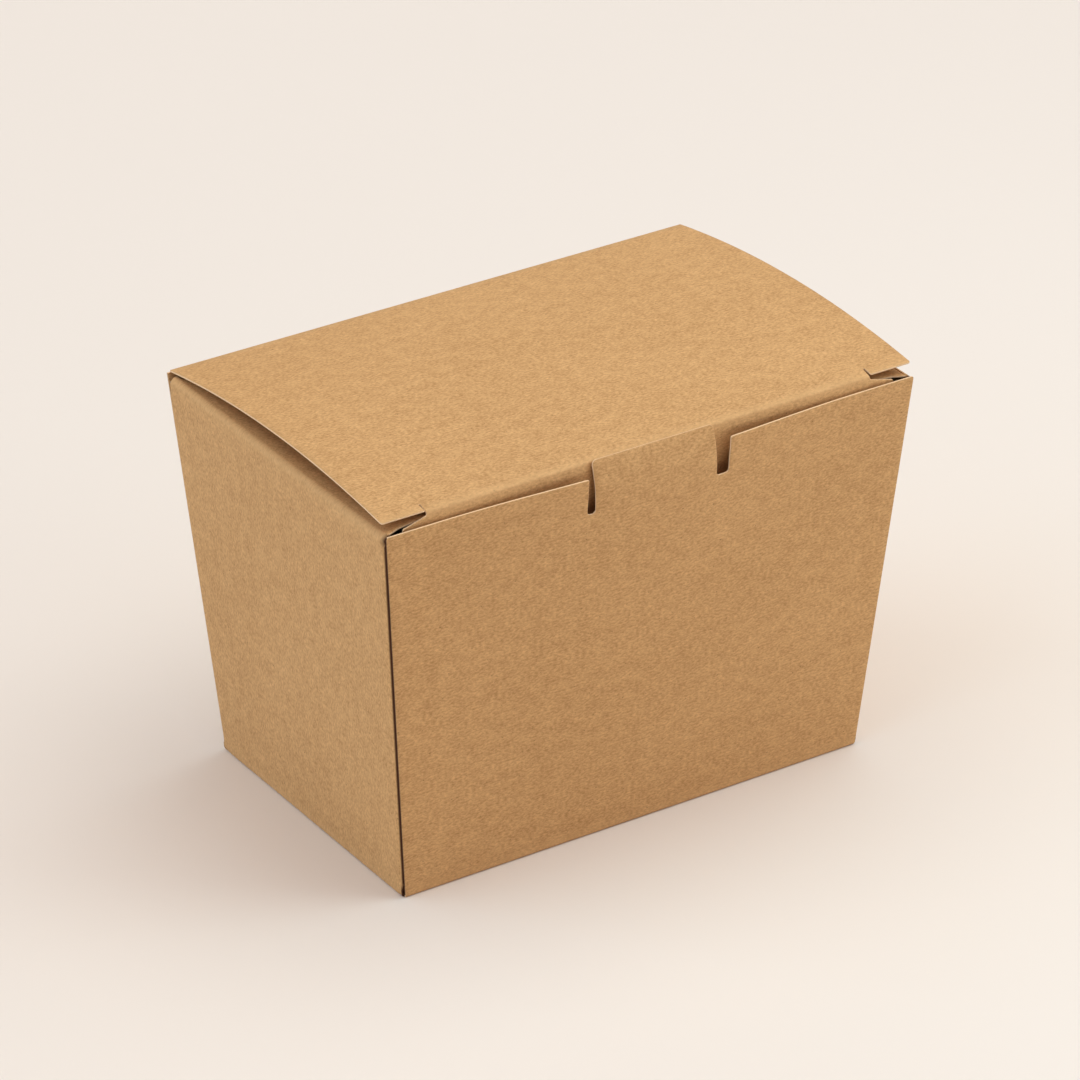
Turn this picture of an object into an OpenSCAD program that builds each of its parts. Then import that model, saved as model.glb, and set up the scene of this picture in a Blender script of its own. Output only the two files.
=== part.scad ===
// Toast box: a tapered take-away carton, cut from one sheet of kraft board, creased,
// folded up and glued at its four corners. Its hinged lid is folded from the same
// sheet: it arches over two dust flaps, its tuck flap goes down behind the front
// panel, slits beside the tuck flap catch on the dust flaps, and a tongue in the
// front panel leans over the lid's front crease through a notch in the tuck flap.
// Origin: middle of the base, on the surface it stands on. The front faces -Y.

/* [Board] */
// Thickness of the board
board_t = 0.5; // [0.4:0.05:0.7]

/* [Box] */
// Width of the mouth, over the board
mouth_w = 150; // [130:1:200]
// Depth of the mouth, front to back, over the board
mouth_d = 99.5; // [85:0.5:130]
// Width of the base
base_w = 132.5; // [115:0.5:150]
// Depth of the base, front to back
base_d = 84; // [70:0.5:99]
// Height of the front panel's top edge, the rim
rim_h = 103.3; // [70:0.1:150]
// Outer radius of the folds round the base
base_fold_r = 1; // [0.8:0.1:2]
// Width of the glue tabs that the side panels send behind the front and back
glue_tab_w = 12; // [8:0.5:16]
// Distance of the glue tabs' ends from the base and from the rim
glue_tab_gap = 3; // [2:0.5:8]
// Slope of the glue tabs' short ends, in degrees
glue_tab_angle = 20; // [10:1:40]
// How far a glued face beds into the board that it is pressed on
glue_bed = 0.1; // [0.05:0.01:0.15]
// Width of the seam between each raw vertical edge and the side panel behind it
seam_w = 0.2; // [0.1:0.05:0.3]
// How far the raw vertical edges stay inside the side panels' faces
seam_inset = 0.35; // [0.1:0.05:0.4]

/* [Front panel] */
// How far the middle of the front panel's top edge is pushed out by the tuck flap
bow = 2.4; // [0:0.1:4]
// Width over which the front panel bows
bow_w = 120; // [80:1:125]
// Width of the tongue
tongue_w = 34.4; // [20:0.2:60]
// Height of the tongue above the rim
tongue_rise = 3.2; // [1:0.1:3.4]
// How far the straight tip of the tongue leans back behind the plane of the flat panel
tongue_lean = 0.8; // [0.5:0.1:1]
// Radius of the tongue's two top corners
tongue_corner_r = 1.5; // [0.5:0.1:5]
// Width of the slots beside the tongue
slot_w = 2.8; // [2:0.1:5]
// Depth of the slots below the rim
slot_depth = 9.7; // [5:0.1:15]
// Corner radius at the bottom of the slots
slot_corner_r = 0.9; // [0.2:0.1:0.9]

/* [Dust flaps] */
// Outer radius of the soft folds along the top of the side panels
dust_fold_r = 1.8; // [1:0.1:2.5]
// Length of a dust flap, from the side panel inwards
dust_l = 37; // [20:1:50]
// Crown of a dust flap, across its length
dust_crown = 1.1; // [0:0.1:1.3]
// Height of the dust flaps' inner edges above the rim
dust_end_rise = 0.35; // [0:0.05:0.5]
// Set-back of the dust flaps' front edges behind the rim, beside the shoulders
dust_front_gap = 2.4; // [2.4:0.1:5]
// Further set-back of the front edges at the dust flaps' inner ends
dust_front_taper = 2.1; // [0:0.1:5]
// Distance of the dust flaps' rear edges from the hinge
dust_rear_gap = 11; // [10:0.5:20]
// Distance of the side panels' top folds from the hinge
dust_relief = 2; // [1.5:0.1:4]
// Corner radius of the dust flaps' inner ends
dust_corner_r = 9; // [1:0.5:14]

/* [Lid] */
// Width of the lid
lid_w = 148.5; // [128:0.5:198]
// Height of the lid's hinge crease above the rim
hinge_rise = 0.45; // [0.4:0.05:0.8]
// Height of the lid's front edge above the rim, at the middle of the board
lid_front_rise = 2.85; // [2.6:0.05:5]
// Distance of the lid's cut front edge behind the rim's front
lid_front_gap = 1.8; // [1.7:0.1:3]
// Crown of the lid, front to back
lid_crown = 3.7; // [3.4:0.1:8]
// Length of the soft bend behind the lid's front crease
crease_run = 2.8; // [2.4:0.1:4]
// Drop of the crease below the lid's front edge
crease_drop = 0.45; // [0.3:0.05:0.8]
// Outer radius of the lid's front crease
crease_r = 1.6; // [1.2:0.1:2]
// Clearance between the hinge crease and the back panel's top edge
hinge_clear = 0.15; // [0.12:0.01:0.3]
// Corner radius of the lid's front corners
lid_corner_r = 1; // [0.3:0.1:4]

/* [Tuck flap] */
// Length of the front crease, between the slits
tuck_w = 125; // [90:1:127]
// Width of the tuck flap's shoulders, below the slits
shoulder_w = 134; // [128:0.5:134]
// Height of the tuck flap, below the lid's front edge
tuck_h = 19; // [17:0.5:30]
// How much the tuck flap narrows on each side, from its shoulders to its free edge
tuck_taper = 6; // [0:0.5:8]
// How far the tuck flap's face comes forward between its crease and the rim
tuck_forward = 0.5; // [0:0.05:0.6]
// Inward lean of the tuck flap, in degrees
tuck_lean = 7.5; // [7:0.5:12]
// Corner radius of the tuck flap
tuck_corner_r = 9; // [2:0.5:15]
// Width of the slits between the tuck flap and the lid's corners
slit_w = 0.4; // [0.2:0.1:1]
// Clearance of the notch on each side of the tongue
notch_clear = 0.5; // [0.5:0.1:2]
// Depth of the notch, below the lid's front edge
notch_depth = 6.8; // [6.8:0.1:14]
// Corner radius of the notch
notch_corner_r = 1.5; // [1:0.5:5]

/* [Hidden] */

kraft_front = [0.74, 0.57, 0.40];
kraft_lid = [0.83, 0.65, 0.45];
far = 400;                              // reach of a cutter past the box
fold_steps = 8;                         // facets round a fold
crown_steps = 16;                       // facets along a crowned panel
bow_steps = 18;                         // facets across the bowed part of the front panel
low_rows = 4;                           // facets up the front panel, below the tongue
high_rows = 6;                          // facets up the tongue
over = 1;                               // how far a raw sheet runs past its outline

slope_x = (mouth_w - base_w) / 2 / rim_h;   // how fast the side panels spread
slope_y = (mouth_d - base_d) / 2 / rim_h;   // how fast the front and back spread
lean_y = atan(slope_y);                     // lean of the front and back panels
front_run = rim_h / cos(lean_y);            // length of the front panel along its slope
hinge_y = mouth_d / 2 - board_t / 2 / cos(lean_y);
hinge_z = rim_h + hinge_rise;
lid_front_y = -mouth_d / 2 + lid_front_gap;
lid_front_z = rim_h + lid_front_rise;
front_foot = base_fold_r + board_t / 2;     // height where the front panel leaves its fold
tongue_root = rim_h - slot_depth;
tongue_top = rim_h + tongue_rise;
lean_power = 3;                             // the tongue leans mostly near its tip
tuck_end_z = lid_front_z - tuck_h;
notch_end_z = lid_front_z - notch_depth;
tuck_turn_z = rim_h + 0.3;                  // height where the tuck flap turns inwards
soft_r = 3;                                 // radius of the tuck flap's soft bends
notch_w = tongue_w + 2 * notch_clear;
dust_end_x = mouth_w / 2 - dust_l;
knee_x = shoulder_w / 2 + 0.3;              // where a dust flap's front edge clears a shoulder

// Unit vector from a to b
function unit(a, b) = (b - a) / norm(b - a);
// Left-hand normal of a direction
function left(d) = [-d[1], d[0]];

// Points of the arc that rounds corner b of the path a, b, c with radius r
function corner_arc(a, b, c, r) =
    let (u = unit(b, a), v = unit(b, c),
         half = acos(u * v) / 2,
         centre = b + unit([0, 0], u + v) * r / sin(half),
         from = b + u * r / tan(half) - centre,
         to = b + v * r / tan(half) - centre,
         turn = sign(cross(from, to)) * acos(from * to / r / r),
         first = atan2(from[1], from[0]))
    [for (i = [0 : fold_steps])
        centre + r * [cos(first + turn * i / fold_steps), sin(first + turn * i / fold_steps)]];

// A path with its inner corners rounded; radii has one radius for each point
function folded(path, radii) =
    [for (i = [0 : len(path) - 1])
        each (i == 0 || i == len(path) - 1 || radii[i] == 0)
            ? [path[i]]
            : corner_arc(path[i - 1], path[i], path[i + 1], radii[i])];

// Arc from a to b that stands crown high over its chord, on the right-hand side
function crowned(a, b, crown, steps) =
    let (chord = norm(b - a),
         r = (chord * chord / 4 + crown * crown) / (2 * crown),
         half = asin(chord / 2 / r),
         n = -left(unit(a, b)),
         centre = (a + b) / 2 + n * (crown - r))
    [for (i = [0 : steps])
        let (turn = half - 2 * half * i / steps)
        centre + r * (n * cos(turn) - unit(a, b) * sin(turn))];

// Mitred offset of point i of a path, to its left by d
function beside(path, i, d) =
    let (last = len(path) - 1,
         n0 = left(unit(path[max(i - 1, 0)], path[max(i, 1)])),
         n1 = left(unit(path[min(i, last - 1)], path[min(i + 1, last)])))
    path[i] + (n0 + n1) * d / (1 + n0 * n1);

// Outline of board of thickness t that follows a path along its middle
function board_outline(path, t) =
    let (last = len(path) - 1)
    concat([for (i = [0 : last]) beside(path, i, t / 2)],
           [for (i = [last : -1 : 0]) beside(path, i, -t / 2)]);

// Half of a round end for board of thickness t, centred on point a of a path that goes to b
function round_end(a, b, t) =
    let (u = unit(a, b))
    [for (i = [1 : fold_steps - 1])
        let (turn = 180 * i / fold_steps)
        a + (-left(u) * cos(turn) - u * sin(turn)) * t / 2];

// Tub outline, spreading upwards from the ground to height top, its sides moved inwards by inset
function tub_outline(half_base, slope, inset, top) =
    let (foot = half_base - inset * sqrt(1 + slope * slope),
         head = foot + slope * top)
    folded([[-head, top], [-foot, 0], [foot, 0], [head, top]],
           [0, base_fold_r - inset, base_fold_r - inset, 0]);

// Extrude an outline drawn in x and z, along Y
module along_y(l) { rotate([90, 0, 0]) linear_extrude(l, center = true) children(); }
// Extrude an outline drawn in y and z, along X
module along_x(l) { rotate([90, 0, 90]) linear_extrude(l, center = true) children(); }

// Middle line of the strip of board from one dust flap's end, down a side panel,
// across the base and up to the other dust flap's end
function side_strip() =
    let (side = board_t / 2 * sqrt(1 + slope_x * slope_x),
         foot = base_w / 2 - side + slope_x * board_t / 2,
         head_z = rim_h - board_t / 2,
         head = base_w / 2 - side + slope_x * head_z,
         flap = crowned([head, head_z], [dust_end_x, rim_h + dust_end_rise], dust_crown, crown_steps),
         right_half = [for (i = [len(flap) - 1 : -1 : 0]) flap[i]],
         corner = len(flap) - 1,
         path = concat(right_half, [[foot, board_t / 2]],
                       [[-foot, board_t / 2]], [for (p = flap) [-p[0], p[1]]]),
         radii = [for (i = [0 : len(path) - 1])
                     (i == corner || i == len(path) - 1 - corner) ? dust_fold_r - board_t / 2 :
                     (i == corner + 1 || i == corner + 2) ? base_fold_r - board_t / 2 : 0])
    folded(path, radii);

// Middle line of the strip from the back panel's top edge, across the base, to the
// start of the front panel
function back_strip() =
    let (side = board_t / 2 / cos(lean_y),
         mid = base_d / 2 - side,
         foot = mid + slope_y * board_t / 2,
         top = hinge_z - board_t / 2 - hinge_clear)
    folded([[mid + slope_y * top, top], [foot, board_t / 2], [-foot, board_t / 2],
            [-mid - slope_y * front_foot, front_foot]],
           [0, base_fold_r - board_t / 2, base_fold_r - board_t / 2, 0]);

// Plan of the right dust flap, from the side panel inwards
module dust_plan() {
    front_y = -mouth_d / 2 + board_t / cos(lean_y);
    knee_y = -mouth_d / 2 + dust_front_gap;
    end_y = knee_y + dust_front_taper;
    rear_y = hinge_y - dust_rear_gap;
    fold_y = hinge_y - dust_relief;
    fold_x = mouth_w / 2 - dust_fold_r;
    rear_x = fold_x - (fold_y - rear_y);
    outline = folded([[mouth_w, front_y], [fold_x, front_y], [knee_x, knee_y], [dust_end_x, end_y],
                      [dust_end_x, rear_y], [rear_x, rear_y], [fold_x, fold_y], [mouth_w, fold_y]],
                     [0, 0, 0, dust_corner_r, dust_corner_r, 0, 0, 0]);
    polygon(outline);
}

// Base, side panels and dust flaps: one strip of board, left to right
module side_panels() {
    cut_z = rim_h - dust_fold_r - board_t;
    difference() {
        intersection() {
            along_y(far) polygon(board_outline(side_strip(), board_t));
            along_x(far) polygon(tub_outline(base_d / 2, slope_y, board_t + seam_w, far));
        }
        difference() {
            translate([-far / 2, -far / 2, cut_z]) cube([far, far, rim_h]);
            for (side = [0, 1])
                mirror([side, 0, 0])
                    translate([0, 0, cut_z - board_t]) linear_extrude(rim_h * 2) dust_plan();
        }
    }
}

// Base, back panel and the fold under the front panel: one strip, front to back
module back_panel() {
    intersection() {
        along_x(far) polygon(board_outline(back_strip(), board_t));
        along_y(far) polygon(tub_outline(base_w / 2, slope_x, seam_inset, far));
    }
}

// Outward push of the front panel at x and height z: widest at the middle of the rim
function bow_at(x, z) =
    abs(x) >= bow_w / 2 ? 0 : bow * pow(cos(180 * x / bow_w), 2) * z / rim_h;
// Inward lean of the tongue at x and height z, out of the bow and back to a straight tip;
// the change beside it falls in the slots
function lean_at(x, z) =
    (abs(x) > tongue_w / 2 + slot_w / 2 || z <= tongue_root) ? 0 :
    (tongue_lean + bow_at(x, tongue_top)) * pow((z - tongue_root) / (tongue_top - tongue_root), lean_power);
// Outer face of the front panel
function front_y(x, z) = -base_d / 2 - slope_y * z - bow_at(x, z) + lean_at(x, z);

// Front panel as a sheet that bows, with its tongue leaning back
module bowed_sheet() {
    foot_z = front_foot - board_t / 4;
    slot_x = tongue_w / 2 + slot_w / 2;
    step = bow_w / bow_steps;
    inner = [for (i = [0 : bow_steps]) -bow_w / 2 + i * step];
    xs = concat([-mouth_w / 2 - over],
                [for (x = inner) if (x < -slot_x - slot_w / 4) x],
                [-slot_x - slot_w / 4, -slot_x + slot_w / 4],
                [for (x = inner) if (abs(x) < slot_x - slot_w / 4) x],
                [slot_x - slot_w / 4, slot_x + slot_w / 4],
                [for (x = inner) if (x > slot_x + slot_w / 4) x],
                [mouth_w / 2 + over]);
    zs = concat([for (i = [0 : low_rows]) foot_z + (tongue_root - foot_z) * i / low_rows],
                [for (i = [1 : high_rows])
                    tongue_root + (tongue_top + over - tongue_root) * i / high_rows]);
    nx = len(xs);
    nz = len(zs);
    thick = board_t / cos(lean_y);
    points = [for (side = [0, 1]) for (z = zs) for (x = xs) [x, front_y(x, z) + side * thick, z]];
    at = function (side, iz, ix) side * nz * nx + iz * nx + ix;
    skins = [for (side = [0, 1]) for (iz = [0 : nz - 2]) for (ix = [0 : nx - 2])
        let (a = at(side, iz, ix), b = at(side, iz, ix + 1),
             c = at(side, iz + 1, ix + 1), d = at(side, iz + 1, ix))
        each side == 0 ? [[a, d, c], [a, c, b]] : [[a, b, c], [a, c, d]]];
    ends = [for (iz = [0 : nz - 2]) for (ix = [0, nx - 1])
        let (a = at(0, iz, ix), b = at(1, iz, ix), c = at(1, iz + 1, ix), d = at(0, iz + 1, ix))
        ix == 0 ? [a, b, c, d] : [d, c, b, a]];
    edges = [for (ix = [0 : nx - 2]) for (iz = [0, nz - 1])
        let (a = at(0, iz, ix), b = at(0, iz, ix + 1), c = at(1, iz, ix + 1), d = at(1, iz, ix))
        iz == 0 ? [a, b, c, d] : [d, c, b, a]];
    polyhedron(points, concat(skins, ends, edges), convexity = 6);
}

// Front view of the front panel: the trapezoid, the tongue and the slots beside it
module front_outline() {
    edge = tongue_w / 2;
    outer = edge + slot_w;
    right_half = [[edge, tongue_top], [edge, tongue_root], [outer, tongue_root], [outer, rim_h],
                  [mouth_w, rim_h], [mouth_w, 0]];
    radii = [tongue_corner_r, slot_corner_r, slot_corner_r, slot_corner_r / 2, 0, 0];
    last = len(right_half) - 1;
    left_half = [for (i = [last : -1 : 0]) [-right_half[i][0], right_half[i][1]]];
    tip = [[0, tongue_top]];
    intersection() {
        polygon(tub_outline(base_w / 2, slope_x, seam_inset, far));
        polygon(folded(concat(tip, right_half, left_half, tip),
                       concat([0], radii, [for (i = [last : -1 : 0]) radii[i]], [0])));
    }
}

module front_panel() {
    intersection() {
        bowed_sheet();
        along_y(far) front_outline();
    }
}

// Glue tab in the plane of the panel that it is glued to: x across, y up its slope
module tab_outline() {
    rise = glue_tab_w * tan(glue_tab_angle);
    side = function (v) base_w / 2 + slope_x * v * cos(lean_y) - (board_t + seam_inset) / 2;
    low = glue_tab_gap;
    high = front_run - glue_tab_gap;
    polygon([[side(low), low], [side(high), high],
             [side(high - rise) - glue_tab_w, high - rise], [side(low + rise) - glue_tab_w, low + rise]]);
}

// Glue tabs at all four corners, bedded in the backs of the front and back panels
module glue_tabs() {
    for (back = [0, 1]) for (side = [0, 1])
        mirror([0, back, 0]) mirror([side, 0, 0])
            translate([0, -base_d / 2, 0]) rotate([90 + lean_y, 0, 0])
                translate([0, 0, glue_bed - board_t * 2]) linear_extrude(board_t) tab_outline();
}

module carton() {
    color(kraft_front) {
        side_panels();
        back_panel();
        front_panel();
        glue_tabs();
    }
}

// Middle line of the lid, from its hinge crease to its cut front edge
function lid_panel() =
    crowned([hinge_y, hinge_z], [lid_front_y, lid_front_z], lid_crown, crown_steps);

// Middle line of the lid with its front crease and tuck flap: a soft bend, the crease, the
// face that comes forward to the rim, and the flap that leans inwards from there
function lid_strip() =
    let (panel = lid_panel(),
         last = len(panel) - 1,
         start = panel[last] - unit(panel[last - 1], panel[last]) * crease_run,
         crease_z = lid_front_z - crease_drop,
         fall = start[1] - crease_z,
         crease = [start[0] - sqrt(crease_run * crease_run - fall * fall), crease_z],
         turn = [crease[0] - tuck_forward, tuck_turn_z],
         end = turn + [tan(tuck_lean), -1] * (tuck_turn_z - tuck_end_z + board_t))
    folded(concat([for (i = [0 : last - 1]) panel[i]], [start, crease, turn, end]),
           concat([for (i = [0 : last - 1]) 0], [soft_r, crease_r - board_t / 2, soft_r, 0]));

// Board outline with a rounded crease at its start
module hinged_board(path) {
    polygon(concat(board_outline(path, board_t), round_end(path[0], path[1], board_t)));
}

// Front view of the lid within the slits, with its tuck flap's shoulders and round corners
module tuck_outline() {
    half_w = tuck_w / 2;
    shoulder = shoulder_w / 2;
    foot = shoulder - tuck_taper;
    top = lid_front_z + lid_crown;
    polygon(folded([[0, top], [-half_w, top], [-half_w, rim_h], [-shoulder, rim_h],
                    [-foot, tuck_end_z], [foot, tuck_end_z], [shoulder, rim_h], [half_w, rim_h],
                    [half_w, top], [0, top]],
                   [0, 0, 0, lid_corner_r, tuck_corner_r, tuck_corner_r, lid_corner_r, 0, 0, 0]));
}

// Front view of the notch that the tongue leans through
module notch_outline() {
    half_w = notch_w / 2;
    polygon(folded([[0, far], [-half_w, far], [-half_w, notch_end_z], [half_w, notch_end_z],
                    [half_w, far], [0, far]],
                   [0, 0, notch_corner_r, notch_corner_r, 0, 0]));
}

// Lid panel with its slit front corners and its edge over the tongue
module lid_top() {
    difference() {
        along_x(lid_w) hinged_board(lid_panel());
        for (side = [0, 1]) mirror([side, 0, 0]) {
            translate([notch_w / 2, -far / 2, rim_h]) cube([(tuck_w - notch_w) / 2, far, far]);
            translate([tuck_w / 2 - slit_w, lid_front_y - crease_run, rim_h])
                cube([slit_w * 2, crease_run * 2, far]);
        }
        difference() {
            translate([-far / 2, lid_front_y - over, rim_h]) cube([far, lid_corner_r + over, far]);
            lid_corners();
        }
    }
}

// Plan of the lid's rounded front corners
module lid_corners() {
    translate([0, 0, rim_h - over]) linear_extrude(far)
        polygon(folded([[0, 0], [-lid_w / 2, 0], [-lid_w / 2, lid_front_y], [lid_w / 2, lid_front_y],
                        [lid_w / 2, 0], [0, 0]],
                       [0, 0, lid_corner_r, lid_corner_r, 0, 0]));
}

// The lid where it runs on over its front fold into the tuck flap
module lid_tuck() {
    intersection() {
        along_x(shoulder_w) hinged_board(lid_strip());
        along_y(far) difference() {
            tuck_outline();
            notch_outline();
        }
    }
}

module lid() {
    color(kraft_lid) {
        lid_top();
        lid_tuck();
    }
}

carton();
lid();
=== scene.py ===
# Toast box in kraft board: one die-cut sheet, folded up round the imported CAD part.
# Sizes are in millimetres and angles in degrees, as in the CAD source; the meshes are made in metres.
from math import atan, ceil, cos, pi, radians, sin, sqrt, tan

import bpy
import numpy as np
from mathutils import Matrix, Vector
from mathutils.geometry import delaunay_2d_cdt


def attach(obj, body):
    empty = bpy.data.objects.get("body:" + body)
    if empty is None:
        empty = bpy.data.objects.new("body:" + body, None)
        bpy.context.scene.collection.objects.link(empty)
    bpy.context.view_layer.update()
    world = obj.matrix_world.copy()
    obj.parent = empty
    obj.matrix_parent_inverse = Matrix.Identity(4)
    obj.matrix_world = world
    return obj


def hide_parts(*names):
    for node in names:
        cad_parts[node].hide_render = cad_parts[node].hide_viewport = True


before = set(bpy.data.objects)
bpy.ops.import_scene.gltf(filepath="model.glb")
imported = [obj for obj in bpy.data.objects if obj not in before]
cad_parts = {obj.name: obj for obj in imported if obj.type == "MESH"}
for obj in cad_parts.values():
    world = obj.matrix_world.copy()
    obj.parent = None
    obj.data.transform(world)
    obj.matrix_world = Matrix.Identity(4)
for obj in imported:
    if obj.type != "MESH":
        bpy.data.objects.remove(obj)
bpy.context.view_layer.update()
scene = bpy.context.scene
print("frame loaded")

millimetre = 0.001

board = dict(
    thick=0.5,
    cutRound=0.09,      # how far the knife rounds a cut edge
    grid=2.6,           # mesh spacing on a flat panel
    foldRows=7,         # mesh rows round a fold
    rowGap=0.28, baseGap=0.7, bandGap=0.2,      # how near the mesh rows come to a cut edge
    pointGap=0.06,      # smallest distance between two points of a cut edge
    slopeStep=0.03,     # step over which the slopes of the bent board are taken
    sharpAngle=50,      # shading breaks at edges sharper than this
)


# A vector divided by its length
def unit(v):
    return v / np.linalg.norm(v)


# A bent line: straight runs between corners, each inner corner rounded by an arc of its radius.
# It keeps the run along the line at every point, and where each arc starts and ends.
def bentLine(corners, radii, steps=14):
    corners = np.array(corners, float)
    parts, arcs, count = [corners[:1]], [], 1
    for before, corner, after, r in zip(corners, corners[1:], corners[2:], radii[1:]):
        if r <= 0:
            parts.append(corner[None])
            count += 1
            continue
        u, v = unit(before - corner), unit(after - corner)
        half = np.arccos(np.clip(u @ v, -1, 1)) / 2
        centre = corner + unit(u + v) * r / np.sin(half)
        first, last = corner + u * r / np.tan(half) - centre, corner + v * r / np.tan(half) - centre
        way = np.sign(first[0] * last[1] - first[1] * last[0])
        angle = np.arctan2(first[1], first[0]) + way * (pi - 2 * half) * np.linspace(0, 1, steps + 1)
        parts.append(centre + r * np.stack([np.cos(angle), np.sin(angle)], 1))
        arcs.append((count, count + steps))
        count += steps + 1
    parts.append(corners[-1:])
    line = np.concatenate(parts)
    run = np.r_[0, np.cumsum(np.hypot(*np.diff(line, axis=0).T))]
    return dict(line=line, run=run, arcs=[(run[i], run[j]) for i, j in arcs])


# Place on a bent line after a run s
def placeAt(bent, s):
    return np.interp(s, bent["run"], bent["line"][:, 0]), np.interp(s, bent["run"], bent["line"][:, 1])


# Arc over the chord from a to b that stands crown high on its right-hand side:
# centre + r (n cos t - u sin t), with t running from half to -half
def crownedArc(a, b, crown, steps=48):
    a, b = np.array(a, float), np.array(b, float)
    chord, u = np.linalg.norm(b - a), unit(b - a)
    r = (chord * chord / 4 + crown * crown) / (2 * crown)
    half = np.arcsin(chord / 2 / r)
    n = np.array([u[1], -u[0]])
    centre = (a + b) / 2 + n * (crown - r)
    t = np.linspace(half, -half, steps + 1)[:, None]
    return centre + r * (n * np.cos(t) - u * np.sin(t))


# Mesh spacing along a run: close rows through the folds, wide rows between them
def rowsAlong(start, end, folds, wide):
    marks = [start] + [x for fold in folds for x in fold] + [end]
    rows = []
    for i, (low, high) in enumerate(zip(marks, marks[1:])):
        count = board["foldRows"] if i % 2 else max(1, ceil((high - low) / wide))
        rows.append(np.linspace(low, high, count + 1))
    return np.unique(np.round(np.concatenate(rows), 4))


# Which points of the flat lie on board: a ray to the right crosses the loops an odd number of times
def onBoard(points, loops):
    inside = np.zeros(len(points), bool)
    for loop in loops:
        p, q = loop, np.roll(loop, -1, axis=0)
        above = (p[None, :, 1] > points[:, 1, None]) != (q[None, :, 1] > points[:, 1, None])
        rise = np.where(q[:, 1] == p[:, 1], 1e-12, q[:, 1] - p[:, 1])
        crossing = (q[:, 0] - p[:, 0]) * (points[:, 1, None] - p[:, 1]) / rise + p[:, 0]
        inside ^= (np.sum(above & (points[:, 0, None] < crossing), axis=1) % 2).astype(bool)
    return inside


# Distance from points of the flat to the nearest cut edge: each foot lies at a share from 0 to 1 of its edge
def toCut(points, loops):
    nearest = np.full(len(points), 1e9)
    for loop in loops:
        p, q = loop, np.roll(loop, -1, axis=0)
        along = q - p
        length2 = np.maximum((along ** 2).sum(1), 1e-12)
        share = np.clip(((points[:, None] - p) * along).sum(2) / length2, 0, 1)
        gap = np.linalg.norm(points[:, None] - (p + share[..., None] * along), axis=2)
        nearest = np.minimum(nearest, gap.min(axis=1))
    return nearest


# A cut loop with points added every few millimetres and wherever a mesh row crosses it
def refined(loop, rulers):
    points = []
    for p, q in zip(loop, np.roll(loop, -1, axis=0)):
        length = np.linalg.norm(q - p)
        if length < 1e-5:
            continue
        count = ceil(length / board["grid"])
        cuts = [np.arange(1, count) / count]
        for slope, values in rulers:
            start, end = np.dot(slope, p), np.dot(slope, q)
            if abs(end - start) > 1e-6:
                share = (np.asarray(values) - start) / (end - start)
                cuts.append(share[(share > 0) & (share < 1)])
        share = np.sort(np.concatenate(cuts))
        share = share[np.diff(np.r_[0, share]) * length > board["pointGap"]]
        share = share[(1 - share) * length > board["pointGap"]]
        points.append(p[None])
        points.append(p + np.outer(share, q - p))
    return np.concatenate(points)


# The loop moved into the board by d, along the mitre of its two neighbours: (n0 + n1) d / (1 + n0 . n1)
def movedIn(loop, d):
    before, after = loop - np.roll(loop, 1, axis=0), np.roll(loop, -1, axis=0) - loop
    before /= np.linalg.norm(before, axis=1)[:, None]
    after /= np.linalg.norm(after, axis=1)[:, None]
    n0 = np.stack([-before[:, 1], before[:, 0]], 1)
    n1 = np.stack([-after[:, 1], after[:, 0]], 1)
    return loop + (n0 + n1) * d / np.maximum(1 + (n0 * n1).sum(1), 0.35)[:, None]


# Middle surface and its normal: the normal is the cross product of the two slopes of bend(a, b)
def middleOf(bend, flat, outwards):
    step = board["slopeStep"]
    a, b = flat.T
    slopeA = bend(a + step, b) - bend(a - step, b)
    slopeB = bend(a, b + step) - bend(a, b - step)
    normal = np.cross(slopeA, slopeB)
    return bend(a, b), outwards * normal / np.linalg.norm(normal, axis=1)[:, None]


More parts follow.
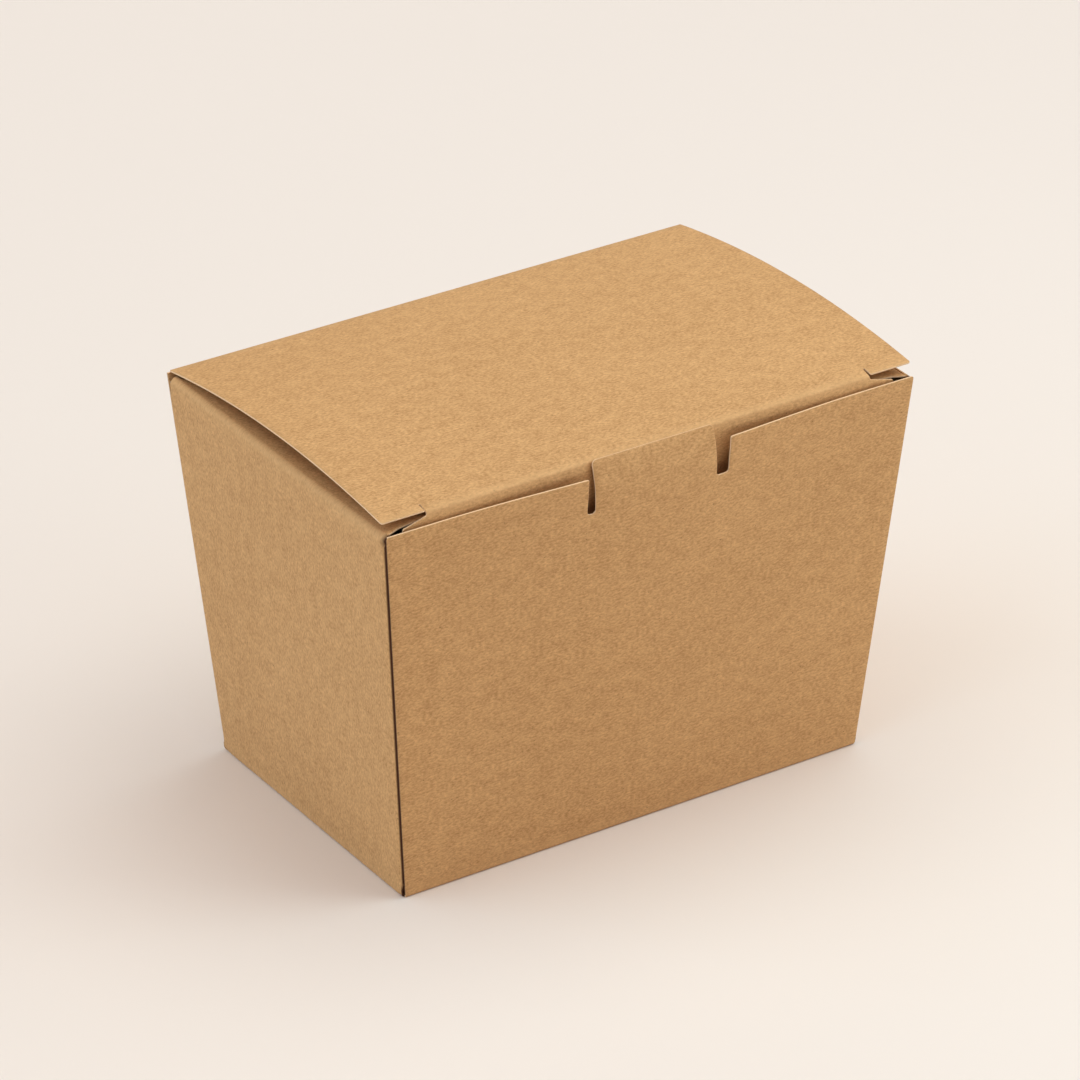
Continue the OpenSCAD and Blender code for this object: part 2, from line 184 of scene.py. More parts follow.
# A piece of board. The flat shape is given by its cut loops, board on their left, and by mesh rows.
# It is filled with triangles, bent by bend(a, b), and given its thickness along the normal.
# The last argument gives where shade is painted into the seams.
def makeBoard(name, loops, rows, rulers, bend, outwards, creaseAt, seamAt):
    loops = [refined(loop, rulers) for loop in loops]
    skins = [movedIn(loop, board["cutRound"]) for loop in loops]
    points, edges, count = [], [], 0
    for loop in skins:
        points.append(loop)
        edges.append(np.stack([np.arange(len(loop)), np.roll(np.arange(len(loop)), -1)], 1) + count)
        count += len(loop)
    edgeCount = count
    for row, gap in rows:
        keep = onBoard(row, loops) & (toCut(row, loops) > gap)
        index = np.cumsum(keep) - 1 + count
        joined = keep[:-1] & keep[1:]
        points.append(row[keep])
        edges.append(np.stack([index[:-1][joined], index[1:][joined]], 1))
        count += keep.sum()
    points, edges = np.concatenate(points), np.concatenate(edges)
    flat, _, faces, origin, _, _ = delaunay_2d_cdt(
        [Vector(p) for p in points.tolist()], edges.tolist(), [], 0, 1e-6)
    flat = np.array([tuple(p) for p in flat])
    faces = np.array(faces)
    faces = faces[onBoard(flat[faces].mean(axis=1), skins)]
    place = np.zeros(len(points), int)
    for new, old in enumerate(origin):
        place[old] = new
    edgeOf = place[:edgeCount]

    middle, normal = middleOf(bend, flat, outwards)
    cut = np.concatenate(loops)
    cutMiddle, cutNormal = middleOf(bend, cut, outwards)
    half, inside = board["thick"] / 2, board["thick"] / 2 - board["cutRound"]
    verts = np.concatenate([middle + normal * half, middle - normal * half,
                            cutMiddle + cutNormal * inside, cutMiddle - cutNormal * inside])
    m, n = len(flat), len(cut)
    nextOf = np.concatenate([np.roll(np.arange(len(loop)), -1) + start for loop, start in
                             zip(loops, np.cumsum([0] + [len(loop) for loop in loops]))])
    i = np.arange(n)
    rings = [edgeOf + m, i + 2 * m + n, i + 2 * m, edgeOf]      # from the inner skin to the outer
    walls = np.concatenate([np.stack([low, low[nextOf], high[nextOf], high], 1)
                            for low, high in zip(rings, rings[1:])])
    if outwards < 0:
        skinFaces = np.concatenate([faces[:, ::-1], faces + m])
        walls = walls[:, ::-1]
    else:
        skinFaces = np.concatenate([faces, faces[:, ::-1] + m])

    mesh = bpy.data.meshes.new(name)
    mesh.from_pydata((verts * millimetre).tolist(), [], skinFaces.tolist() + walls.tolist())
    # outer skin, inner skin and the two rings of the cut: each has its own depth in the fibres
    sheets = ((flat, 0, 0.0), (flat, 0, 30.0), (cut, 1, 0.2), (cut, 1, 0.5))
    marks = dict(
        cutEdge=np.concatenate([np.full(len(sheet), float(raw)) for sheet, raw, _ in sheets]),
        crease=np.concatenate([creaseAt(*sheet.T) for sheet, _, _ in sheets]),
        # painted seam shade, a mask from 0 to 1
        seam=np.concatenate([seamAt(*sheet.T, raw) for sheet, raw, _ in sheets]),
    )
    for label, values in marks.items():
        mesh.attributes.new(label, "FLOAT", "POINT").data.foreach_set("value", values)
    lay = np.concatenate([np.column_stack([sheet, np.full(len(sheet), depth)]) for sheet, _, depth in sheets])
    lay *= millimetre
    mesh.attributes.new("sheetPlace", "FLOAT_VECTOR", "POINT").data.foreach_set("vector", lay.ravel())
    mesh.shade_smooth()
    mesh.set_sharp_from_angle(angle=radians(board["sharpAngle"]))
    mesh.update()
    piece = bpy.data.objects.new(name, mesh)
    scene.collection.objects.link(piece)
    print(f"{name}: {len(skinFaces) + 2 * len(walls)} triangles")
    return piece


# The box: base, four panels, dust flaps and glue tabs
box = dict(
    mouthWidth=150, mouthDepth=99.5,    # over the board, at the rim
    baseWidth=132.5, baseDepth=84,
    rim=103.3,                          # height of the front panel's top edge
    baseFold=1.0,                       # outer radius of the folds round the base
    edgeInset=0.55,                     # raw upright edges stay inside the side panels' faces
    border=1.15, borderSlope=0.12,      # on the flat, from the panels' folds to the sides' cuts
    tabWidth=12, tabGap=3, tabOver=1.0, tabFold=1.1, tabAngle=20,
    bow=2.4, bowWidth=120,              # the front panel is pushed out by the tuck flap
    tongueWidth=34.2, tongueRise=3.2, tongueLean=1.1, tongueCorner=1.3, tongueShift=-0.65,
    slotWidth=2.9, slotDepth=9.7, slotCorner=0.9,
    dustFold=1.8, dustLength=37, dustCrown=1.1, dustEndRise=0.35,
    dustFrontGap=2.4, dustFrontTaper=2.1, dustRearGap=11, dustRelief=2, dustCorner=9,
    dustLift=1.3,                       # the slits of the lid lift the dust flaps' front edges
)

# The lid, with its tuck flap
lid = dict(
    width=149.2, hingeRise=0.45, frontRise=2.85, frontGap=1.8,
    crown=3.7, corner=0.6, hingeGap=0.03,
    creaseRun=2.8, creaseDrop=0.45, creaseRound=0.85, softRound=3,
    tuckWidth=125, shoulderWidth=139, tuckHeight=19, tuckTaper=8.5, tuckForward=0.5,
    tuckTurn=0.3,                       # height over the rim where the tuck flap turns inwards
    tuckLean=7.5, tuckCorner=9, slit=0.4, notchClear=-0.8, notchDepth=3.4, notchCorner=0.6,
    rearSlant=0.9,                      # its left edge slants in a little towards the hinge crease
    shoulderTop=1.7,                    # height over the rim of the shoulders' upper ends, at the slits
)

half = board["thick"] / 2
slopeX = (box["mouthWidth"] - box["baseWidth"]) / 2 / box["rim"]
slopeY = (box["mouthDepth"] - box["baseDepth"]) / 2 / box["rim"]
leanX, leanY = atan(slopeX), atan(slopeY)
hingeY = box["mouthDepth"] / 2 - half / cos(leanY)
hingeZ = box["rim"] + lid["hingeRise"]
tongueFoot, tongueTop = box["rim"] - box["slotDepth"], box["rim"] + box["tongueRise"]


# Middle of a side panel at a height: half the base's width, less half a board, plus slope by height
def sideX(z):
    return box["baseWidth"] / 2 - half / cos(leanX) + slopeX * z


# Middle of the board from the middle of the base, out to the right, up a side and along a dust flap
sideFoot, sideHead = sideX(half), sideX(box["rim"] - half)
flapEnd = box["mouthWidth"] / 2 - box["dustLength"]
flapArc = crownedArc((sideHead, box["rim"] - half), (flapEnd, box["rim"] + box["dustEndRise"]),
                     -box["dustCrown"])
sideLine = bentLine([(0, half), (sideFoot, half), *flapArc, flapArc[-1] + (flapArc[-1] - flapArc[-2])],
                    [0, box["baseFold"] - half, box["dustFold"] - half] + [0] * 60)
sideFold, topFold = sideLine["arcs"]

# The same out to the front, up to the tongue's tip, and out to the back, up to the hinge
upFoot = box["baseDepth"] / 2 - half / cos(leanY) + slopeY * half
backTop = hingeZ - half - lid["hingeGap"]
upTop = tongueTop + 2
upLine = bentLine([(0, half), (upFoot, half), (upFoot + slopeY * (upTop - half), upTop)],
                  [0, box["baseFold"] - half, 0])
upFold = upLine["arcs"][0]


# Run of a bent line where it is at a height z
def runAtHeight(bent, z):
    i = np.argmax(bent["line"][:, 1] > half + 1e-6)
    return np.interp(z, bent["line"][i - 1:, 1], bent["run"][i - 1:])


# Run of the side line where the side panel is at a height z
def sideRun(z):
    stop = np.argmax(sideLine["run"] >= topFold[0]) + 1
    i = np.argmax(sideLine["line"][:, 1] > half + 1e-6)
    return np.interp(z, sideLine["line"][i - 1:stop, 1], sideLine["run"][i - 1:stop])


# Run of the side line where the dust flap is at a place x
def flapRun(x):
    i = np.argmax(sideLine["run"] >= topFold[1])
    return np.interp(-x, -sideLine["line"][i:, 0], sideLine["run"][i:])


# Glue tabs: each is folded along the line where the middle of a side panel would meet the middle of
# the tab, which lies on the inner face of the front or back panel
tabRound = box["tabFold"] - half
tabInset = (board["thick"] + half + 0.03) / cos(leanY)


# Middle of a glue tab at a height: half the base's depth plus slope by height, less its inset
def tabDepth(z):
    return box["baseDepth"] / 2 + slopeY * z - tabInset


lowZ, highZ = 2.0, box["rim"] - 3.0        # the fold line of a tab is drawn between these heights
tabFlat = np.array([[sideRun(z), tabDepth(z)] for z in (lowZ, highZ)], float)
tabWay = unit(tabFlat[1] - tabFlat[0])
tabOut = np.array([-tabWay[1], tabWay[0]])
tabLow, tabHigh = [np.array([sideX(z), tabDepth(z), z]) for z in (lowZ, highZ)]
tabLine = unit(tabHigh - tabLow)
sideNormal = np.array([cos(leanX), 0, -sin(leanX)])
tabSide = np.cross(sideNormal, tabLine)
tabSide *= np.sign(tabSide[1])
tabTurn = np.arccos(-sin(leanX) * -sin(leanY))
tabStart = tabRound * tan(tabTurn / 2)
tabArc = tabRound * tabTurn
tabSpan = [box["tabGap"] - lowZ, np.linalg.norm(tabHigh - tabLow) + box["tabOver"]]


# Fold of the glue tabs: past the fold's start the board runs round an arc, then straight on.
# place = line + r sin(t) side - r (1 - cos t) normal + rest (cos t side - sin t normal)
def foldTab(a, b, place):
    flat = np.stack([a, np.abs(b)], -1) - tabFlat[0]
    along, out = flat @ tabWay, flat @ tabOut + tabStart
    turn = np.clip(out / tabRound, 0, tabTurn)
    rest = np.maximum(out - tabArc, 0)
    r, t = tabRound, turn[:, None]
    foot = tabLow + along[:, None] * tabLine - tabStart * tabSide
    arc = r * np.sin(t) * tabSide - r * (1 - np.cos(t)) * sideNormal
    folded = foot + arc + rest[:, None] * (np.cos(t) * tabSide - np.sin(t) * sideNormal)
    folded[:, 1] *= np.where(b < 0, -1, 1)
    reach = np.minimum(along - tabSpan[0], tabSpan[1] - along) + 1
    share = np.where(out > 0, np.clip(reach, 0, 1), 0)[:, None]
    share = share * share * (3 - 2 * share)
    return place + (folded - place) * share


# Outward push of the front panel: bow cos^2 across, growing with height. The tongue leans back out
# of the bow to a straight tip, by the square of the height over its foot
def frontPush(x, z):
    bow = box["bow"] * np.cos(pi * x / box["bowWidth"]) ** 2
    across = np.where(np.abs(x) < box["bowWidth"] / 2, bow, 0)
    share = np.clip((z - tongueFoot) / (tongueTop - tongueFoot), 0, 1.1)
    lean = (box["tongueLean"] + across * tongueTop / box["rim"]) * share ** 2
    onTongue = np.abs(x) < (box["tongueWidth"] + box["slotWidth"]) / 2
    return across * z / box["rim"] - np.where(onTongue, lean, 0)


# Which points of the flat belong to a side panel, its dust flap and its glue tabs
def isSide(runX, runY):
    past = runY - upFold[0]
    return runX - sideFold[0] > np.minimum(past, box["border"] + box["borderSlope"] * past)


# Smooth step from 0 at low to 1 at high
def ease(value, low, high):
    share = np.clip((value - low) / (high - low), 0, 1)
    return share * share * (3 - 2 * share)


# Lift of a dust flap's front edge, caught under the lid's slit: full at the slit, dying away along
# the edge by smooth steps and behind it by exp(-(distance / 13)^2)
def flapLift(x, y):
    return box["dustLift"] * ease(-x, -76.5, -63.5) * ease(x, 40, 60) * np.exp(-((y + 47.3) / 13) ** 2)


# The whole box from its flat: a runs to the right and b to the back from the middle of the base
def bendBox(a, b):
    runX, runY = np.abs(a), np.abs(b)
    side = isSide(runX, runY)
    x, z = placeAt(sideLine, runX)
    z = z + np.where(runX > topFold[0], flapLift(x, b), 0)
    sides = foldTab(runX, b, np.stack([x, b, z], -1))
    sides[:, 0] *= np.sign(a + 1e-9)
    y, z = placeAt(upLine, runY)
    ups = np.stack([a, (y + np.where(b < 0, frontPush(a, z), 0)) * np.sign(b + 1e-9), z], -1)
    return np.where(side[:, None], sides, ups)


# A whole loop from its right half: the left half has x changed to -x and runs back
def mirrored(halfLoop):
    other = halfLoop[::-1] * [-1, 1]
    return np.concatenate([halfLoop, other[1:-1]])


# The carton's flat, as one loop from the middle of the front to the middle of the back, and its rows
def buildBox():
    upRun = lambda z: runAtHeight(upLine, z)
    panel = lambda z: box["baseWidth"] / 2 + slopeX * z - box["edgeInset"] / cos(leanX)
    rawSide = lambda z: box["baseDepth"] / 2 + slopeY * z - (board["thick"] + 0.06) / cos(leanY)
    rim, xb, yb = box["rim"], sideFold[0], upFold[0]
    tongue, slot = box["tongueWidth"] / 2, box["tongueWidth"] / 2 + box["slotWidth"]
    front = bentLine(
        [(0, -upRun(tongueTop)), (tongue, -upRun(tongueTop)), (tongue, -upRun(tongueFoot)),
         (slot, -upRun(tongueFoot)), (slot, -upRun(rim)), (panel(rim), -upRun(rim)),
         (panel(1), -upRun(1)), (panel(0.5) - 0.15, -upRun(0.45)), (xb, -yb)],
        [0, box["tongueCorner"], box["slotCorner"], box["slotCorner"], box["slotCorner"] / 2, 0.6, 0, 0, 0],
        7)["line"]
    low, high = tabFlat[0] + tabWay * (box["tabGap"] - lowZ), tabFlat[1] + tabWay * box["tabOver"]
    rise = box["tabWidth"] * tan(radians(box["tabAngle"]))
    tab = [low + tabOut * 0.15, low + tabOut * box["tabWidth"] + tabWay * rise,
           high + tabOut * box["tabWidth"] - tabWay * rise, high + tabOut * 0.15]
    flip = lambda points: [(x, -y) for x, y in points]
    fold = sideLine["run"][np.argmin(np.abs(sideLine["run"] - topFold[0]))]
    frontIn = box["mouthDepth"] / 2 - board["thick"] / cos(leanY) - 0.05
    slitY = box["mouthDepth"] / 2 - box["dustFrontGap"]
    endY = slitY - box["dustFrontTaper"]
    rearY, foldY = hingeY - box["dustRearGap"], hingeY - box["dustRelief"]
    foldX = box["mouthWidth"] / 2 - box["dustFold"]
    rearX = foldX - (foldY - rearY)
    kneeX = lid["shoulderWidth"] / 2 + 0.3
    flap = lambda x: float(flapRun(x))
    side = bentLine(
        [(xb, -yb), (sideRun(1.2), -rawSide(1)), *flip([tab[0], tab[1], tab[2], tab[3]]),
         (fold, -frontIn), (flap(foldX), -frontIn), (flap(kneeX), -slitY), (flap(flapEnd), -endY),
         (flap(flapEnd), rearY), (flap(rearX), rearY), (flap(foldX), foldY), (fold, foldY),
         (fold - 0.6, foldY), (fold - 1.2, tab[3][1]), tab[3], tab[2], tab[1], tab[0],
         (sideRun(1.2), rawSide(1)), (xb, yb)],
        [0, 0, 0, 2, 2, 0, 0, 0, 0, box["dustCorner"], box["dustCorner"],
         2, 0, 0, 0, 0, 0, 2, 2, 0, 0, 0], 9)["line"]
    back = np.array([(xb, yb), (panel(0.5) - 0.15, upRun(0.45)), (panel(1), upRun(1)),
                     (panel(backTop), upRun(backTop)), (0, upRun(backTop))])
    loop = mirrored(np.concatenate([front[:-1], side[:-1], back]))
    onTongue = (np.abs(loop[:, 0]) < (tongue + slot) / 2) & (loop[:, 1] < 0.05 - upRun(tongueFoot))
    loop[onTongue, 0] += box["tongueShift"]

    grid = board["grid"]
    upRows = np.unique(np.round(np.r_[
        np.linspace(yb, upFold[1], 8), rowsAlong(upFold[1], upRun(tongueFoot), [], grid),
        rowsAlong(upRun(tongueFoot), upRun(tongueTop), [], grid / 3)], 4))
    sideRows = np.unique(np.round(np.r_[
        np.linspace(xb, sideFold[1], 8), rowsAlong(sideFold[1], topFold[0], [], grid),
        np.linspace(topFold[0], topFold[1], 11), rowsAlong(topFold[1], flap(flapEnd), [], grid)], 4))
    rows = []
    across = np.arange(-75, 75.1, grid)
    for b in np.arange(-yb + grid, yb - grid / 2, grid):
        base = across[np.abs(across) < xb - grid / 3]
        rows.append((np.stack([base, np.full(len(base), b)], 1), board["baseGap"]))
    for way in (-1, 1):
        for s in upRows:
            rows.append((np.stack([across, np.full(len(across), way * s)], 1), board["rowGap"]))
        deep = np.arange(-50, 50.1, grid)
        for s in sideRows:
            reach = tabDepth(placeAt(sideLine, s)[1]) - tabStart - 0.45 if s < topFold[0] - 1 else 60
            span = deep[np.abs(deep) < reach]
            rows.append((np.stack([np.full(len(span), way * s), span], 1), board["rowGap"]))
        tabRows = np.r_[np.linspace(-tabStart, tabArc - tabStart, 6),
                        np.arange(tabArc + 1.5, box["tabWidth"], grid)]
        for deepWay in (-1, 1):
            along = np.arange(0.2, tabSpan[1], grid)
            for out in tabRows:
                line = tabFlat[0] + tabWay * along[:, None] + tabOut * out
                rows.append((line * [way, deepWay], board["rowGap"]))
    rulers = [((0, 1), np.r_[upRows, -upRows]), ((1, 0), np.r_[sideRows, -sideRows])]

    # Wear of the creases: exp(-(distance from the fold's middle / width)^2)
    def creaseAt(a, b):
        runX, runY = np.abs(a), np.abs(b)
        side = isSide(runX, runY)
        near = lambda run, arc, width: np.exp(-((run - (arc[0] + arc[1]) / 2) / width) ** 2)
        flat = np.stack([runX, runY], -1) - tabFlat[0]
        tabs = np.exp(-((flat @ tabOut) / 0.5) ** 2) * 0.6
        return np.where(side, np.maximum(near(runX, sideFold, 0.8), near(runX, topFold, 1.3)) + tabs,
                        near(runY, upFold, 0.8))

    # Painted shade of the seams: near-black colour laid on the raw upright edges, and on the folds where they
    # turn in behind them, where the grooves fall in shadow; full on the front seams, at 0.35 on the back ones
    def seamAt(a, b, raw):
        runX, runY = np.abs(a), np.abs(b)
        side = isSide(runX, runY)
        out = (np.stack([runX, runY], -1) - tabFlat[0]) @ tabOut + tabStart
        onFold = ease(out, tabArc * 0.4, tabArc * 0.62) * np.where(b < 0, 1, 0.35) * side
        edge = box["baseWidth"] / 2 + slopeX * placeAt(upLine, runY)[1] - box["edgeInset"] / cos(leanX)
        upright = raw * np.where(b < 0, 1, 0.35) * (~side & (runY > upFold[1]) & (runX > edge - 0.25))
        return np.where(side, onFold, upright)

    return makeBoard("cartonBoard", [loop], rows, rulers, bendBox, -1, creaseAt, seamAt)


# The lid: its panel arches from the hinge to the front, and the tuck flap bends down from it
lidFrontY, lidFrontZ = -box["mouthDepth"] / 2 + lid["frontGap"], box["rim"] + lid["frontRise"]
panelArc = crownedArc((hingeY, hingeZ), (lidFrontY, lidFrontZ), lid["crown"])
panelLine = bentLine([*panelArc, panelArc[-1] * 4 - panelArc[-2] * 3], [0] * 60)
panelRun = float(panelLine["run"][len(panelArc) - 1])
frontWay = unit(panelArc[-1] - panelArc[-2])
softStart = panelArc[-1] - frontWay * lid["creaseRun"]
creaseFall = softStart[1] - lidFrontZ + lid["creaseDrop"]
creaseBack = sqrt(lid["creaseRun"] ** 2 - creaseFall ** 2)
creasePoint = np.array([softStart[0] - creaseBack, lidFrontZ - lid["creaseDrop"]])
turnPoint = np.array([creasePoint[0] - lid["tuckForward"], box["rim"] + lid["tuckTurn"]])
tuckDown = np.array([sin(radians(lid["tuckLean"])), -cos(radians(lid["tuckLean"]))])
tuckEndZ, notchEndZ = lidFrontZ - lid["tuckHeight"], lidFrontZ - lid["notchDepth"]
flatArc = panelArc[panelLine["run"][:len(panelArc)] < panelRun - lid["creaseRun"] - 1]
tuckLine = bentLine([*flatArc, softStart, creasePoint, turnPoint, turnPoint + tuckDown * 40],
                    [0] * len(flatArc) + [lid["softRound"], lid["creaseRound"] - half, lid["softRound"], 0])
softFold, lidFold, turnFold = tuckLine["arcs"]


# The lid from its flat: a runs to the right and -b to the front from the hinge. Outside the slits it
# follows the panel's arch, between them the line with the crease and the tuck flap
def bendLid(a, b):
    run, x = -b, np.abs(a)
    onPanel = (x > (lid["tuckWidth"] + lid["slit"]) / 2) & (run < panelRun + 0.3)
    panelY, panelZ = placeAt(panelLine, run)
    tuckY, tuckZ = placeAt(tuckLine, run)
    return np.stack([a, np.where(onPanel, panelY, tuckY), np.where(onPanel, panelZ, tuckZ)], -1)


# The lid's flat, as an outer loop and the window for the tongue, and its rows
def buildLid():
    # Run of the tuck line where the tuck flap is at a height z
    def tuckRun(z):
        past = np.argmax(tuckLine["run"] >= lidFold[1])
        return float(np.interp(-z, -tuckLine["line"][past:, 1], tuckLine["run"][past:]))

    cut, start = -panelRun, -panelRun + lid["creaseRun"]
    tuck, shoulder, wide = lid["tuckWidth"] / 2, lid["shoulderWidth"] / 2, lid["width"] / 2
    notch = box["tongueWidth"] / 2 + lid["notchClear"]
    end, mouth = -tuckRun(tuckEndZ), -tuckRun(notchEndZ)
    level, upper = -tuckRun(box["rim"]), -tuckRun(box["rim"] + lid["shoulderTop"])
    outer = mirrored(bentLine(
        [(0, end), (shoulder - lid["tuckTaper"], end), (shoulder, level), (tuck + lid["slit"] / 2, upper),
         (tuck, upper + 0.3), (tuck, start), (tuck + lid["slit"], start), (tuck + lid["slit"], cut),
         (wide, cut), (wide, 0), (0, 0)],
        [0, lid["tuckCorner"], lid["corner"], 0.1, 0.1, 0.1, 0.1, 0.2, lid["corner"], 0.2, 0], 9)["line"])
    outer[:, 0] += np.where((outer[:, 0] < -70) & (outer[:, 1] > -10), lid["rearSlant"], 0)
    r, top = lid["notchCorner"], -0.6 * lidFold[0] - 0.4 * lidFold[1]
    window = bentLine([(0, top), (notch, top), (notch, mouth), (-notch, mouth), (-notch, top), (0, top)],
                      [0, r, r, r, r, 0], 9)["line"][:-1] + [box["tongueShift"], 0]
    grid = board["grid"]
    lines = rowsAlong(grid, -end - 0.5, [softFold, lidFold, turnFold], grid)
    bands = [(-wide, -tuck - lid["slit"]), (-tuck, -notch), (-notch, notch), (notch, tuck),
             (tuck + lid["slit"], wide)]
    rows = []
    for s in lines:
        if -start - 0.1 <= s < -mouth + 0.2:
            for low, high in bands:
                across = np.linspace(low + 0.3, high - 0.3, ceil((high - low) / grid) + 1)
                rows.append((np.stack([across, np.full(len(across), -s)], 1), board["bandGap"]))
        else:
            across = np.arange(-wide, wide, grid)
            rows.append((np.stack([across, np.full(len(across), -s)], 1), board["rowGap"]))
    rulers = [((0, 1), -lines)]
    middle = (lidFold[0] + lidFold[1]) / 2
    # wear of the front crease and of the hinge crease, each exp(-(distance / width)^2)
    pressed = lambda a, b: np.exp(-((-b - middle) / 1.1) ** 2) + 0.7 * np.exp(-(b / 0.6) ** 2)
    # the lid gets no painted seam shade
    noPaintedSeamShade = lambda a, b, raw: np.zeros(len(a))
    return makeBoard("lidBoard", [outer, window], rows, rulers, bendLid, 1, pressed, noPaintedSeamShade)


cartonBoard = buildBox()
lidBoard = buildLid()
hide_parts("carton")
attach(cartonBoard, "carton")
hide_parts("lid")
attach(lidBoard, "lid")
print("board folded")


# Adds a shader node and sets its inputs: sockets are linked, anything else is set on the socket
def addNode(tree, kind, inputs, **settings):
    made = tree.nodes.new(kind)
    for name, value in settings.items():
        setattr(made, name, value)
    for key, value in inputs.items():
        if isinstance(value, bpy.types.NodeSocket):
            tree.links.new(value, made.inputs[key])
        else:
            made.inputs[key].default_value = value
    return made


# Math node on a and b
def calc(tree, operation, a, b=0.0, clamp=False):
    return addNode(tree, "ShaderNodeMath", {0: a, 1: b}, operation=operation, use_clamp=clamp).outputs[0]


# Mix of two colours: a (1 - share) + b share
def blendColor(tree, share, a, b):
    return addNode(tree, "ShaderNodeMix", {0: share, 6: a, 7: b}, data_type="RGBA").outputs[2]


# Smooth step of a value from low to high
def ramp(tree, value, low, high):
    return addNode(tree, "ShaderNodeMapRange", {0: value, 1: low, 2: high},
                   interpolation_type="SMOOTHSTEP").outputs[0]


# A node group with value inputs and outputs; returns its tree, inputs and output node
def newGroup(name, inputs, outputs):
    tree = bpy.data.node_groups.new(name, "ShaderNodeTree")
    for label, kind in inputs:
        tree.interface.new_socket(label, in_out="INPUT", socket_type=kind)
    for label, kind in outputs:
        tree.interface.new_socket(label, in_out="OUTPUT", socket_type=kind)
    return tree, tree.nodes.new("NodeGroupInput").outputs, tree.nodes.new("NodeGroupOutput")


kraft = dict(
    deep=(0.40, 0.195, 0.064, 1), pale=(0.83, 0.50, 0.225, 1),      # the two ends of the fibre tones
    cut=(0.90, 0.64, 0.39, 1), pressed=(0.74, 0.45, 0.205, 1), speck=(0.16, 0.07, 0.02, 1),
    # painted shade for the seams' grooves, near black
    seam=(0.06, 0.016, 0.002, 1),
    cutShare=0.85, pressedShare=0.45, speckShare=0.55,              # how far each colour covers the fibres
    level=0.5, fibre=1.5, mottle=0.5, cloud=0.2,                    # middle of the tone, and the strengths
    fibreSize=(1.0, 0.5), mottleSize=(4.2, 3.0), cloudSize=(45, 32), speckSize=(0.75, 0.55),
    speckRange=(0.78, 0.86), mottleHeight=0.8,
    roughness=0.78, gloss=0.3, relief=0.03,                         # relief in millimetres
)


# Fibres of the board from its place on the sheet: tone = level + fibre + mottle + cloud,
# each a noise less its middle times its strength. Fibres lie mostly across the box.
def fibreGroup():
    tree, given, result = newGroup(
        "boardFibres", [("Place", "NodeSocketVector")],
        [("Tone", "NodeSocketFloat"), ("Specks", "NodeSocketFloat"), ("Height", "NodeSocketFloat")])

    # Noise with cells of a given width and depth in millimetres
    def noise(size, detail, rough=0.55):
        wide, deep = size
        cells = (1000 / wide, 1000 / deep, 1000 / deep)
        place = addNode(tree, "ShaderNodeVectorMath", {0: given["Place"], 1: cells},
                        operation="MULTIPLY").outputs[0]
        return addNode(tree, "ShaderNodeTexNoise",
                       {"Vector": place, "Scale": 1.0, "Detail": detail, "Roughness": rough},
                       noise_dimensions="3D").outputs[0]

    fibre = noise(kraft["fibreSize"], 2.5, 0.65)
    mottle = noise(kraft["mottleSize"], 2.0)
    cloud = noise(kraft["cloudSize"], 2.0)
    fleck = noise(kraft["speckSize"], 0.0)
    tone = kraft["level"]
    for value, strength in ((fibre, kraft["fibre"]), (mottle, kraft["mottle"]), (cloud, kraft["cloud"])):
        tone = calc(tree, "ADD", calc(tree, "MULTIPLY", calc(tree, "SUBTRACT", value, 0.5), strength), tone)
    tree.links.new(tone, result.inputs["Tone"])
    tree.links.new(ramp(tree, fleck, *kraft["speckRange"]), result.inputs["Specks"])
    raised = calc(tree, "MULTIPLY", mottle, kraft["mottleHeight"])
    tree.links.new(calc(tree, "ADD", fibre, raised), result.inputs["Height"])
    return tree


# Kraft board: fibre tones from deep to pale, then specks, worn creases, cut edges and the painted shade of
# the seams over them
def kraftMaterial(name):
    material = bpy.data.materials.new(name)
    material.use_nodes = True
    tree = material.node_tree
    shader = tree.nodes["Principled BSDF"]
    attribute = lambda label: addNode(tree, "ShaderNodeAttribute", {}, attribute_name=label)
    place = attribute("sheetPlace").outputs["Vector"]
    fibres = addNode(tree, "ShaderNodeGroup", {}, node_tree=fibreGroup())
    tree.links.new(place, fibres.inputs["Place"])
    tone, specks, height = fibres.outputs
    face = blendColor(tree, calc(tree, "ADD", tone, 0.0, True), kraft["deep"], kraft["pale"])
    face = blendColor(tree, calc(tree, "MULTIPLY", specks, kraft["speckShare"]), face, kraft["speck"])
    worn = calc(tree, "MULTIPLY", attribute("crease").outputs["Fac"], kraft["pressedShare"])
    face = blendColor(tree, worn, face, kraft["pressed"])
    cut = ramp(tree, attribute("cutEdge").outputs["Fac"], 0.2, 0.9)
    face = blendColor(tree, calc(tree, "MULTIPLY", cut, kraft["cutShare"]), face, kraft["cut"])
    # painted seam shade, laid over all the other colours
    face = blendColor(tree, attribute("seam").outputs["Fac"], face, kraft["seam"])
    tree.links.new(face, shader.inputs["Base Color"])
    bump = addNode(tree, "ShaderNodeBump",
                   {"Height": height, "Distance": kraft["relief"] * millimetre, "Strength": 1.0})
    tree.links.new(bump.outputs[0], shader.inputs["Normal"])
    shader.inputs["Roughness"].default_value = kraft["roughness"]
    shader.inputs["Specular IOR Level"].default_value = kraft["gloss"]
    return material


kraftBoard = kraftMaterial("kraftBoard")
for piece in (cartonBoard, lidBoard):
    piece.data.materials.append(kraftBoard)

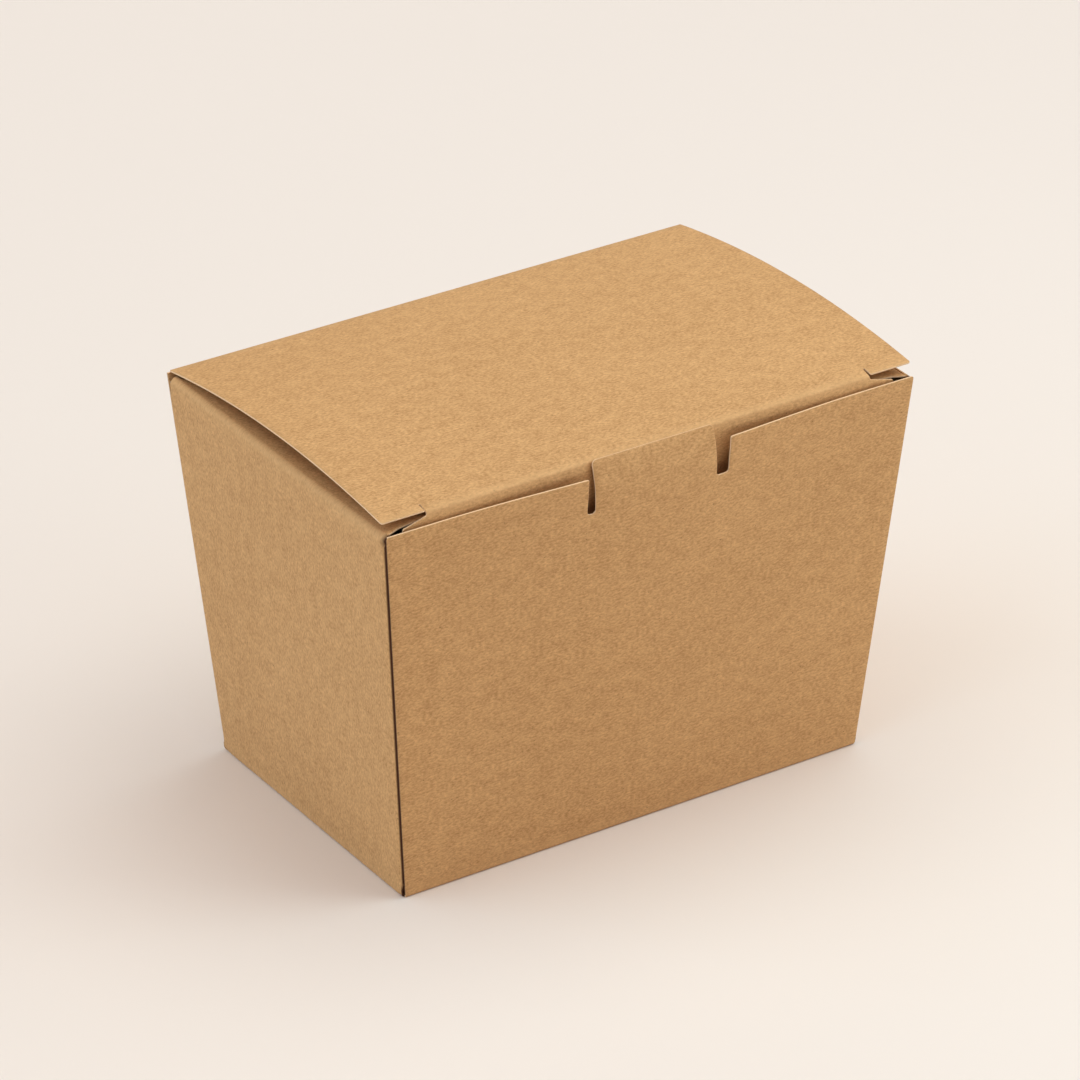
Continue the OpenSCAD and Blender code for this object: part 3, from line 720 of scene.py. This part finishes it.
studio = dict(
    camera=(-0.7027, -1.0726, 0.7541), aim=(0.00147, 0.00230, 0.05674), lens=200, sensor=36,
    floor=(0.853, 0.777, 0.712), floorReach=12, floorRoughness=0.9, floorGloss=0,
    world=(0.8, 0.8, 1.0), worldStrength=0.055,
    # each soft lamp: where it shines from, its angle, its strength in red, green and blue
    suns=dict(
        top=((0.01, 0, 1), 70, (1.10, 1.05, 0.90)),
        right=((0.6, -0.1, 1), 60, (1.05, 1.12, 1.14)),
        left=((-1, 0.2, 0.35), 80, (1.25, 1.54, 1.80)),
        front=((0, -1, 0.9), 70, (0.40, 0.29, 0.28)),
        back=((0, 1, 0.9), 70, (0.46, 0.38, 0.36)),
    ),
    near=(0.42, -0.34, 0.30), nearAim=(0.03, -0.04, 0.05), nearSize=0.3,
    nearPower=0.74, nearColor=(0.78, 0.96, 1.0),
)

floorMesh = bpy.data.meshes.new("studioFloor")
reach = studio["floorReach"]
floorMesh.from_pydata([(-reach, -reach, 0), (reach, -reach, 0), (reach, reach, 0), (-reach, reach, 0)],
                      [], [(0, 1, 2, 3)])
studioFloor = bpy.data.objects.new("studioFloor", floorMesh)
scene.collection.objects.link(studioFloor)
floorMaterial = bpy.data.materials.new("paleFloor")
floorMaterial.use_nodes = True
floorShader = floorMaterial.node_tree.nodes["Principled BSDF"]
floorShader.inputs["Base Color"].default_value = (*studio["floor"], 1)
floorShader.inputs["Roughness"].default_value = studio["floorRoughness"]
floorShader.inputs["Specular IOR Level"].default_value = studio["floorGloss"]
floorMesh.materials.append(floorMaterial)

world = bpy.data.worlds.new("softStudio")
scene.world = world
world.use_nodes = True
sky = world.node_tree.nodes["Background"]
sky.inputs["Color"].default_value = (*studio["world"], 1)
sky.inputs["Strength"].default_value = studio["worldStrength"]

for name, (place, angle, strength) in studio["suns"].items():
    lamp = bpy.data.lights.new(name + "Light", "SUN")
    lamp.energy, lamp.angle = max(strength), radians(angle)
    lamp.color = [part / max(strength) for part in strength]
    light = bpy.data.objects.new(name + "Light", lamp)
    light.rotation_euler = Vector(place).to_track_quat("Z", "Y").to_euler()
    scene.collection.objects.link(light)
nearLamp = bpy.data.lights.new("nearLight", "AREA")
nearLamp.energy, nearLamp.size = studio["nearPower"], studio["nearSize"]
nearLamp.color = studio["nearColor"]
nearLight = bpy.data.objects.new("nearLight", nearLamp)
nearLight.location = studio["near"]
nearWay = Vector(studio["near"]) - Vector(studio["nearAim"])
nearLight.rotation_euler = nearWay.to_track_quat("Z", "Y").to_euler()
scene.collection.objects.link(nearLight)

camera = bpy.data.objects.new("camera", bpy.data.cameras.new("camera"))
camera.data.lens, camera.data.sensor_width = studio["lens"], studio["sensor"]
camera.location = studio["camera"]
cameraWay = Vector(studio["aim"]) - Vector(studio["camera"])
camera.rotation_euler = cameraWay.to_track_quat("-Z", "Y").to_euler()
scene.collection.objects.link(camera)
scene.camera = camera
scene.view_settings.view_transform = "Standard"
print("studio lit")
